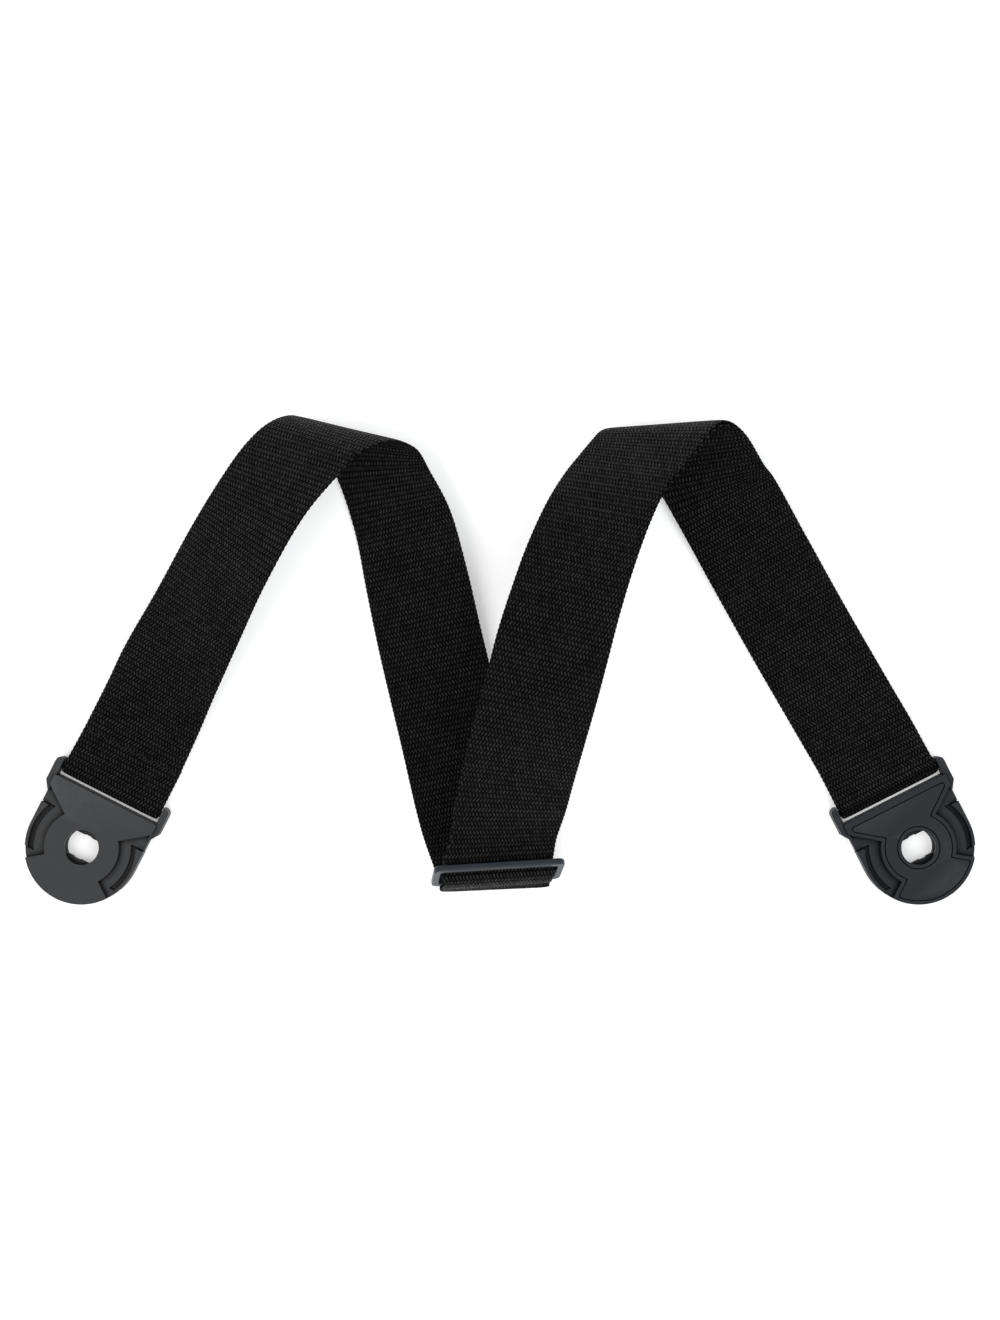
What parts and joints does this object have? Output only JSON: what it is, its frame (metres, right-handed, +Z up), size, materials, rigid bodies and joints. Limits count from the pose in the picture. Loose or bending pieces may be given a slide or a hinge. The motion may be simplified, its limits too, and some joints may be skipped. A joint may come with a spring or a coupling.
{
  "type": "guitar strap",
  "caption": "Webbing guitar strap with locking end plates and a three-bar length slider, laid out on a table with two raised folds.",
  "frame": {"origin": "centre of the footprint, on the table", "axes": "+X from the left end to the right end, +Y towards the two folds, +Z up from the table"},
  "size_m": [0.4422, 0.2275, 0.0655],
  "materials": {
    "left_end_plastic": "fine moulded texture, dark grey",
    "right_end_plastic": "fine moulded texture, dark slate",
    "slider_plastic": "smooth moulded, slate",
    "spring_steel": "drawn wire",
    "webbing": "woven black webbing",
    "thread": "bonded black thread"
  },
  "bodies": {
    "strap": {"webbing": "webbing", "webbing_second_layer": "webbing", "left_stitching": "thread"},
    "left_end": {"left_inner_shell": "left_end_plastic", "left_outer_shell": "left_end_plastic", "left_upper_spring": "spring_steel", "left_lower_spring": "spring_steel"},
    "left_grip_a": {"left_grip_a": "left_end_plastic"},
    "left_grip_b": {"left_grip_b": "left_end_plastic"},
    "left_upper_jaw": {"left_upper_jaw": "left_end_plastic"},
    "left_lower_jaw": {"left_lower_jaw": "left_end_plastic"},
    "right_end": {"right_inner_shell": "right_end_plastic", "right_outer_shell": "right_end_plastic", "right_upper_spring": "spring_steel", "right_lower_spring": "spring_steel"},
    "right_grip_a": {"right_grip_a": "right_end_plastic"},
    "right_grip_b": {"right_grip_b": "right_end_plastic"},
    "right_upper_jaw": {"right_upper_jaw": "right_end_plastic"},
    "right_lower_jaw": {"right_lower_jaw": "right_end_plastic"},
    "slider": {"slider_frame": "slider_plastic", "slider_sewn_end": "webbing", "slider_stitching": "thread"}
  },
  "joints": [
    {"name": "left_end_hinge", "type": "hinge", "parent": "strap", "child": "left_end", "pos_m": [-0.18098, -0.06036, 0.0045], "axis": [-0.8918, 0.4524, 0], "range_deg": [-60, 60]},
    {"name": "left_grip_a_slide", "type": "slide", "parent": "left_end", "child": "left_grip_a", "axis": [0.8918, -0.4524, 0], "range_m": [0, 0.002], "stiffness_N_per_m": 600, "springref_m": -0.003},
    {"name": "left_grip_b_slide", "type": "slide", "parent": "left_end", "child": "left_grip_b", "axis": [-0.8918, 0.4524, 0], "range_m": [0, 0.002]},
    {"name": "left_upper_jaw_slide", "type": "slide", "parent": "left_end", "child": "left_upper_jaw", "axis": [0.4524, 0.8918, 0], "range_m": [0, 0.0024], "deforming": ["left_upper_spring"]},
    {"name": "left_lower_jaw_slide", "type": "slide", "parent": "left_end", "child": "left_lower_jaw", "axis": [-0.4524, -0.8918, 0], "range_m": [0, 0.0024], "deforming": ["left_lower_spring"]},
    {"name": "right_end_hinge", "type": "hinge", "parent": "strap", "child": "right_end", "pos_m": [0.18098, -0.06036, 0.0045], "axis": [-0.8918, -0.4524, 0], "range_deg": [-60, 60]},
    {"name": "right_grip_a_slide", "type": "slide", "parent": "right_end", "child": "right_grip_a", "axis": [-0.8918, -0.4524, 0], "range_m": [0, 0.002], "stiffness_N_per_m": 600, "springref_m": -0.003},
    {"name": "right_grip_b_slide", "type": "slide", "parent": "right_end", "child": "right_grip_b", "axis": [0.8918, 0.4524, 0], "range_m": [0, 0.002]},
    {"name": "right_upper_jaw_slide", "type": "slide", "parent": "right_end", "child": "right_upper_jaw", "axis": [-0.4524, 0.8918, 0], "range_m": [0, 0.0024], "deforming": ["right_upper_spring"]},
    {"name": "right_lower_jaw_slide", "type": "slide", "parent": "right_end", "child": "right_lower_jaw", "axis": [0.4524, -0.8918, 0], "range_m": [0, 0.0024], "deforming": ["right_lower_spring"]},
    {"name": "slider_slide", "type": "slide", "parent": "strap", "child": "slider", "axis": [0.1741, 0.8993, 0.4011], "range_m": [0, 0.04], "deforming": ["webbing", "webbing_second_layer"]}
  ],
  "couplings": [
    {"joint": "left_upper_jaw_slide", "follows": "left_grip_a_slide", "ratio": 1.2},
    {"joint": "left_lower_jaw_slide", "follows": "left_grip_a_slide", "ratio": 1.2},
    {"joint": "left_grip_b_slide", "follows": "left_grip_a_slide", "ratio": 1},
    {"joint": "right_upper_jaw_slide", "follows": "right_grip_a_slide", "ratio": 1.2},
    {"joint": "right_lower_jaw_slide", "follows": "right_grip_a_slide", "ratio": 1.2},
    {"joint": "right_grip_b_slide", "follows": "right_grip_a_slide", "ratio": 1}
  ]
}
